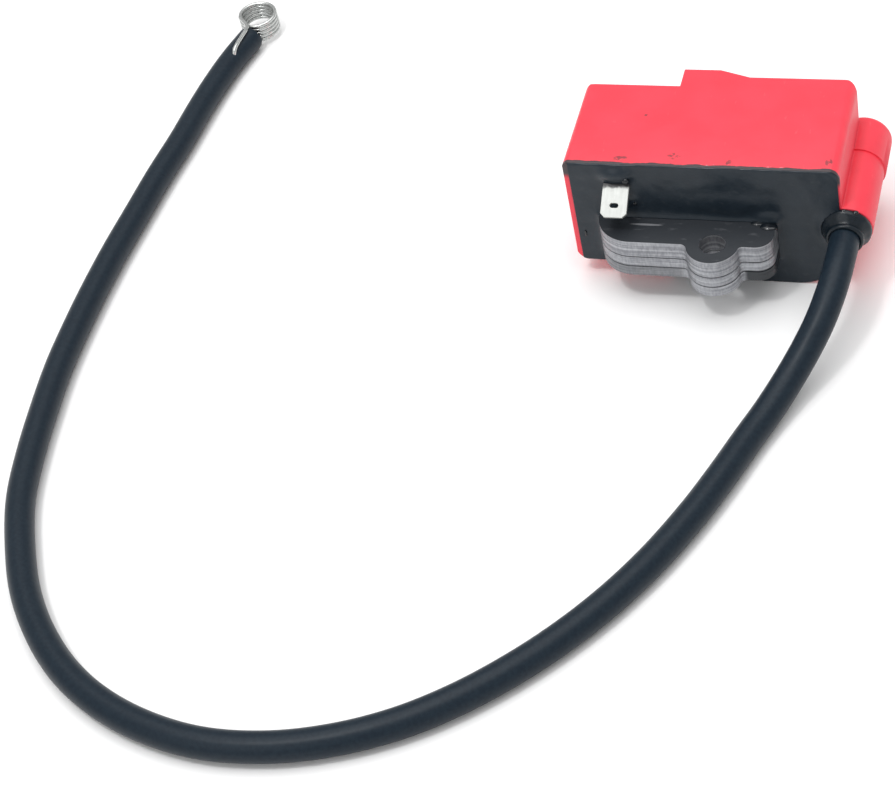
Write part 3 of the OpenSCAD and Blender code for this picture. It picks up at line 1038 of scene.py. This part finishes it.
@dataclass
class Potting:
    """The black epoxy that fills the cup, with a wavy face and rims of creep around what it holds."""

    pitch: float = 0.45
    level: float = 0.34
    ripple: float = 0.16
    creep: float = 0.95
    creep_reach: float = 0.8
    depth: float = 40.0
    cutter_front: float = -6.0
    corner: float = 3.0
    right_rim: float = 0.5
    top_rim: float = 0.3
    top_wave: float = 0.35
    retreat: float = 0.45
    face_skin: float = 0.02
    bulges: tuple[Bulge, ...] = (
        Bulge(11.6, 32.3, 3.6, 2.0, 1.3),
        Bulge(46.5, 21.0, 3.0, 1.4, 0.5),
        Bulge(60.8, 18.6, 3.2, 4.8, 1.2),
        Bulge(14.4, 24.5, 1.6, 1.6, 0.4),
        Bulge(52.5, 13.0, 4.0, 4.5, 0.3),
        Bulge(37.0, 24.4, 7.5, 3.0, 0.45),
    )

    def bare(self, x: float, z: float) -> float:
        """How much of the red rim shows at a point of the face.

        Args:
            x: The point's place along X.
            z: Its height.

        Returns:
            0 where epoxy covers the rim, 1 where none does.
        """
        high = module_box("case")[1]
        top = high.z - self.top_rim - self.top_wave * noise.noise(Vector((x, 3.0, 0.0)) / 3.5)
        right = Case().right_wall - self.right_rim
        off_x, off_z = x - right + self.corner, z - top + self.corner
        out = math.hypot(off_x, off_z) - self.corner if min(off_x, off_z) > 0 else z - top
        return min(max(out / self.retreat, 0.0), 1.0)

    def height(self, x: float, z: float) -> float:
        """How far the face stands in front of the rim at a point, in millimetres.

        Args:
            x: The point's place along X.
            z: Its height.

        Returns:
            The distance, towards -Y.
        """
        low, high = module_box("core_upper_pack")
        bottom = module_box("core_lower_pack")[0].z
        off_x = max(low.x - x, 0.0, x - high.x)
        off_z = max(bottom - z, 0.0, z - high.z)
        creep = self.creep * math.exp(-math.hypot(off_x, off_z) / self.creep_reach)
        wave = noise.noise(Vector((x, 0.0, z)) / 7.0) + 0.4 * noise.noise(Vector((x, 9.0, z)) / 2.4)
        humps = creep + sum(bulge.at(x, z) for bulge in self.bulges)
        return (self.level + self.ripple * wave + humps) * (1 - self.bare(x, z))

    def cutter(self) -> bmesh.types.BMesh:
        """A block that is as deep as the case, with the epoxy's wavy face in front."""
        low, high = module_box("case")
        middle = (low + high) / 2
        width, tall = high.x - low.x + 4, high.z - low.z + 4
        mesh = bmesh.new()
        bmesh.ops.create_grid(
            mesh,
            x_segments=round(width / self.pitch),
            y_segments=round(tall / self.pitch),
            size=0.5,
            matrix=Matrix.Diagonal((width, tall, 1.0, 1.0)),
        )
        for vertex in mesh.verts:
            x, z = vertex.co.x + middle.x, vertex.co.y + middle.z
            vertex.co = place(x, -self.height(x, z), z)
        rim = [edge for edge in mesh.edges if edge.is_boundary]
        walls = bmesh.ops.extrude_edge_only(mesh, edges=rim)["geom"]
        back = [item for item in walls if isinstance(item, bmesh.types.BMVert)]
        for vertex in back:
            vertex.co.y = place(0, self.depth, 0).y
        bmesh.ops.contextual_create(
            mesh,
            geom=[edge for edge in mesh.edges if edge.is_boundary],
        )
        bmesh.ops.recalc_face_normals(mesh, faces=mesh.faces)
        return mesh

    def build(self) -> bpy.types.Object:
        """Makes the potting's piece."""
        mesh = merged("potting")
        front = min(vertex.co.y for vertex in mesh.verts)
        for vertex in mesh.verts:
            if vertex.co.y < front + self.face_skin * MM:
                vertex.co.y = place(0, self.cutter_front, 0).y
        cutter_data = bpy.data.meshes.new("cutter")
        cutter_mesh = self.cutter()
        cutter_mesh.to_mesh(cutter_data)
        cutter_mesh.free()
        cutter = bpy.data.objects.new("cutter", cutter_data)
        bpy.context.scene.collection.objects.link(cutter)
        piece = finish_mesh("potting_epoxy", mesh, EPOXY.build(), ["potting"])
        cut = piece.modifiers.new("wavy_face", "BOOLEAN")
        cut.operation = "INTERSECT"
        cut.solver = "EXACT"
        cut.object = cutter
        apply_modifiers(piece)
        bpy.data.objects.remove(cutter)
        piece.data.shade_smooth()
        piece.data.set_sharp_from_angle(angle=math.radians(40))
        return piece


def apply_modifiers(piece: bpy.types.Object) -> None:
    """Bakes an object's modifiers into its mesh.

    Args:
        piece: The mesh object to change.
    """
    bpy.context.view_layer.update()
    graph = bpy.context.evaluated_depsgraph_get()
    data = bpy.data.meshes.new_from_object(piece.evaluated_get(graph))
    piece.modifiers.clear()
    piece.data = data


@dataclass
class Core:
    """The stack of laminations, every sheet on its own, a little out of line with the next."""

    sheet: float = 0.5
    gap: float = 0.04
    slip: float = 0.04
    pack_gap: float = 0.24
    face_skin: float = 0.01
    seed: int = 7
    packs: tuple[str, ...] = ("upper", "middle", "lower")

    def sheet_mesh(self, node: str) -> bmesh.types.BMesh:
        """One sheared lamination, its lower face at the pack's bottom.

        Args:
            node: The CAD pack that it has the outline of.

        Returns:
            The sheet's mesh.
        """
        mesh = merged(node, flatten=False)
        top = max(vertex.co.z for vertex in mesh.verts)
        bottom = min(vertex.co.z for vertex in mesh.verts)
        limit = top - self.face_skin * MM
        below = [face for face in mesh.faces if face.calc_center_median().z < limit]
        bmesh.ops.delete(mesh, geom=below, context="FACES")
        thick = (self.sheet - self.gap) * MM
        bmesh.ops.translate(mesh, verts=mesh.verts, vec=(0, 0, bottom + thick - top))
        lower = bmesh.ops.extrude_face_region(mesh, geom=list(mesh.faces))["geom"]
        bmesh.ops.translate(
            mesh,
            verts=[item for item in lower if isinstance(item, bmesh.types.BMVert)],
            vec=(0, 0, -thick),
        )
        bmesh.ops.recalc_face_normals(mesh, faces=mesh.faces)
        return mesh

    def build_pack(self, pack: str, material: bpy.types.Material) -> bpy.types.Object:
        """Makes one pack's piece.

        Args:
            pack: The pack's short name.
            material: Its finish.

        Returns:
            The pack.
        """
        node = f"core_{pack}_pack"
        low, high = module_box(node)
        count = round((high.z - low.z) / self.sheet)
        pitch = (high.z - low.z - self.pack_gap) / count
        lift = high.z - low.z - count * pitch
        shake = random.Random(f"{self.seed} {pack}")
        one = self.sheet_mesh(node)
        mesh = bmesh.new()
        source = bpy.data.meshes.new("sheet")
        one.to_mesh(source)
        one.free()
        for level in range(count):
            start = len(mesh.verts)
            mesh.from_mesh(source)
            mesh.verts.ensure_lookup_table()
            slip = (shake.uniform(-self.slip, self.slip), shake.uniform(-self.slip, 0), 0)
            shift = (Vector(slip) + Vector((0, 0, lift + level * pitch))) * MM
            bmesh.ops.translate(mesh, verts=mesh.verts[start:], vec=shift)
        bpy.data.meshes.remove(source)
        return finish_mesh(f"laminations_{pack}", mesh, material, [node])

    def build(self) -> list[bpy.types.Object]:
        """Makes the three packs."""
        material = LAMINATION.build()
        return [self.build_pack(pack, material) for pack in self.packs]


@dataclass
class Terminal:
    """The spade terminal, with eased edges."""

    edge: float = 0.09
    segments: int = 2

    def build(self) -> bpy.types.Object:
        """Makes the terminal's piece."""
        mesh = merged("spade_terminal")
        bevel(mesh, sharp_edges(mesh, 40), self.edge, self.segments)
        return finish_mesh(
            "terminal_tab", mesh, TAB.build(), ["spade_terminal"], 15
        )


@dataclass
class TowerSeal:
    """The black ring and collar in the tower's mouth that the lead comes out of."""

    axis: tuple[float, float] = (64.4, 18.3)
    inner: float = 3.5
    steps: int = 96
    profile: tuple[tuple[float, float], ...] = (
        (3.5, 2.3), (4.9, 2.3), (4.9, 0.0), (5.55, 0.0), (5.78, -0.25), (5.82, -0.7),
        (5.7, -1.15), (5.35, -1.5), (4.85, -1.9), (4.35, -2.4), (4.08, -2.85),
        (4.15, -3.0), (4.36, -3.2), (4.42, -3.7), (4.36, -4.15), (4.1, -4.38), (3.7, -4.4),
        (3.5, -4.25),
    )
    lump: float = 0.16
    lump_size: float = 1.9
    smooth_front: float = -0.1
    smooth_bore: float = 0.4

    def build(self) -> bpy.types.Object:
        """Makes the seal's piece."""
        mesh = bmesh.new()
        x, z = self.axis
        ring = [mesh.verts.new(place(x + r, y, z)) for r, y in self.profile]
        edges = [mesh.edges.new(pair) for pair in zip(ring, ring[1:] + ring[:1])]
        bmesh.ops.spin(
            mesh,
            geom=ring + edges,
            cent=place(x, 0, z),
            axis=(0, 1, 0),
            angle=math.tau,
            steps=self.steps,
            use_merge=True,
            use_duplicate=False,
        )
        bmesh.ops.remove_doubles(mesh, verts=mesh.verts, dist=MICRON)
        bmesh.ops.recalc_face_normals(mesh, faces=mesh.faces)
        for vertex in mesh.verts:
            self.swell(vertex)
        return finish_mesh(
            "seal_ring", mesh, SEAL_RUBBER.build(), ["tower_seal"], 50
        )

    def swell(self, vertex: bmesh.types.BMVert) -> None:
        """Makes the ring's surface a little uneven, as epoxy on rubber is.

        Args:
            vertex: A vertex of the ring, which is moved.
        """
        x, y, z = (vertex.co - CORNER) / MM
        out = Vector((x - self.axis[0], 0, z - self.axis[1]))
        if y < self.smooth_front and out.length > self.inner + self.smooth_bore:
            lump = noise.noise(Vector((x, y, z)) / self.lump_size)
            vertex.co += out.normalized() * lump * self.lump * MM


@dataclass
class Drop:
    """One drop of epoxy: its place and its three radii."""

    place: Point
    radii: Point


@dataclass
class EpoxyDrops:
    """Beads of epoxy that were left on the face, the core and the seal."""

    detail: int = 4
    drops: tuple[Drop, ...] = (
        Drop((14.0, -1.2, 31.1), (0.9, 0.5, 0.7)),
        Drop((15.3, -0.5, 23.6), (0.5, 0.35, 0.5)),
        Drop((46.8, -2.4, 19.75), (2.1, 1.3, 0.6)),
        Drop((44.0, -1.4, 19.75), (1.6, 0.9, 0.4)),
        Drop((63.9, -0.5, 23.7), (0.9, 0.6, 0.6)),
        Drop((65.2, -1.1, 22.9), (0.8, 0.6, 0.6)),
        Drop((66.6, -0.5, 23.5), (0.8, 0.6, 0.5)),
        Drop((2.0, -0.45, 13.3), (0.3, 0.2, 0.9)),
    )

    def build(self) -> bpy.types.Object:
        """Makes the drops' piece."""
        mesh = bmesh.new()
        for drop in self.drops:
            size = Matrix.Diagonal((*(radius * MM for radius in drop.radii), 1.0))
            bmesh.ops.create_icosphere(
                mesh,
                subdivisions=self.detail,
                radius=1.0,
                matrix=Matrix.Translation(place(*drop.place)) @ size,
            )
        return finish_mesh("epoxy_drops", mesh, WET_EPOXY.build())


@dataclass
class SealedParts:
    """The pieces sealed in the epoxy, which keep their CAD shapes."""

    finishes: dict[str, Finish] = field(default_factory=lambda: dict(INNER_FINISHES))
    copper_parts: tuple[str, ...] = (
        "ground_strap", "primary_leadouts", "ht_leadout", "lead_conductor",
    )

    def key(self, node: str) -> str:
        """The finish that a CAD node takes.

        Args:
            node: The node's name.

        Returns:
            A key of `finishes`, or "" for a node with a finish of its own.
        """
        if node in self.copper_parts:
            return "copper"
        return next((key for key in self.finishes if key in node), "")

    def dress(self) -> list[str]:
        """Gives each sealed node its material.

        Returns:
            The names of the nodes that were dressed.
        """
        materials = {key: finish.build() for key, finish in self.finishes.items()}
        dressed = []
        for name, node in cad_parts.items():
            key = self.key(name)
            if key:
                node.data.materials.clear()
                node.data.materials.append(materials[key])
                dressed.append(name)
        return dressed


def main() -> None:
    """Builds the scene in order and reports each piece."""
    logging.basicConfig(level=logging.INFO, format="%(message)s")
    studio = Studio()
    studio.build_camera()
    spring = ContactSpring().build()
    LOG.info("spring: %s", spring.name)
    seal_end = module_box("tower_seal")[0].y
    LOG.info("lead: %s", Lead().build(spring, seal_end).name)
    for builder in (Case(), Potting(), Terminal(), TowerSeal(), EpoxyDrops()):
        LOG.info("piece: %s", builder.build().name)
    LOG.info("core: %s", [piece.name for piece in Core().build()])
    LOG.info("sealed: %s", SealedParts().dress())
    studio.build_light()
    studio.build_table()


if __name__ == "__main__":
    main()
